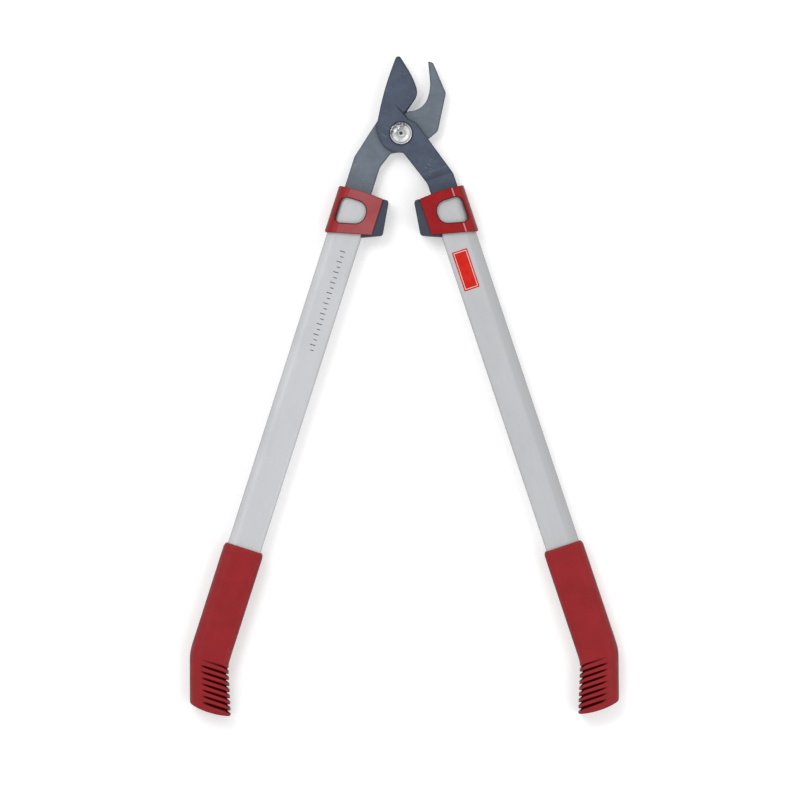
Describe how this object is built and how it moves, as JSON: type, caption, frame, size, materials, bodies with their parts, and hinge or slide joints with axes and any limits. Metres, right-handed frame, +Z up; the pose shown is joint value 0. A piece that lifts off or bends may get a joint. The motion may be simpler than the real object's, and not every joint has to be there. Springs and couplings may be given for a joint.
{
  "type": "pruning shears",
  "caption": "Long-handled bypass pruning shears with a curved cutting blade, hooked counter-blade, oval tube handles, windowed collars, rubber buffers and ribbed soft grips.",
  "frame": {"origin": "centre of the bottom of the bounding box, with the shears lying flat and the handles open as at rest", "axes": "+Y from the grips to the blades, +X to the right-hand handle, +Z up along the pivot bolt towards its head"},
  "size_m": [0.3948, 0.6056, 0.0228],
  "materials": {
    "blade_steel": "dark blue-grey non-stick coated steel, satin, lightly scuffed",
    "hook_steel": "mid grey coated steel, satin",
    "bright_zinc": "bright zinc plated steel",
    "dark_washer": "blackened spring steel",
    "tube_aluminium": "pale silver coated aluminium, satin",
    "collar_plastic": "deep red moulded plastic, semi-gloss",
    "buffer_rubber": "blue-grey rubber, matt",
    "liner_plastic": "black moulded plastic",
    "pin_steel": "plain steel",
    "grip_rubber": "dark red soft plastic, fine matt grain",
    "label_vinyl": "red printed vinyl"
  },
  "bodies": {
    "blade_side": {"cutting_blade": "blade_steel", "pivot_bolt": "bright_zinc", "pivot_head_washer": "dark_washer", "pivot_spring_washer": "bright_zinc", "pivot_lock_nut": "bright_zinc", "right_label": "label_vinyl", "right_tube": "tube_aluminium", "right_collar": "collar_plastic", "right_buffer": "buffer_rubber", "right_tang_liner_front": "liner_plastic", "right_tang_liner_back": "liner_plastic", "right_tang_pins": "pin_steel", "right_grip": "grip_rubber", "right_grip_core": "liner_plastic"},
    "hook_side": {"hook_blade": "hook_steel", "left_tube": "tube_aluminium", "left_collar": "collar_plastic", "left_buffer": "buffer_rubber", "left_tang_liner_front": "liner_plastic", "left_tang_liner_back": "liner_plastic", "left_tang_pins": "pin_steel", "left_grip": "grip_rubber", "left_grip_core": "liner_plastic"}
  },
  "joints": [
    {"name": "pivot", "type": "hinge", "parent": "blade_side", "child": "hook_side", "pos_m": [0, 0.23185, 0.0114], "axis": [0, 0, 1], "range_deg": [-40, 20.8]}
  ]
}
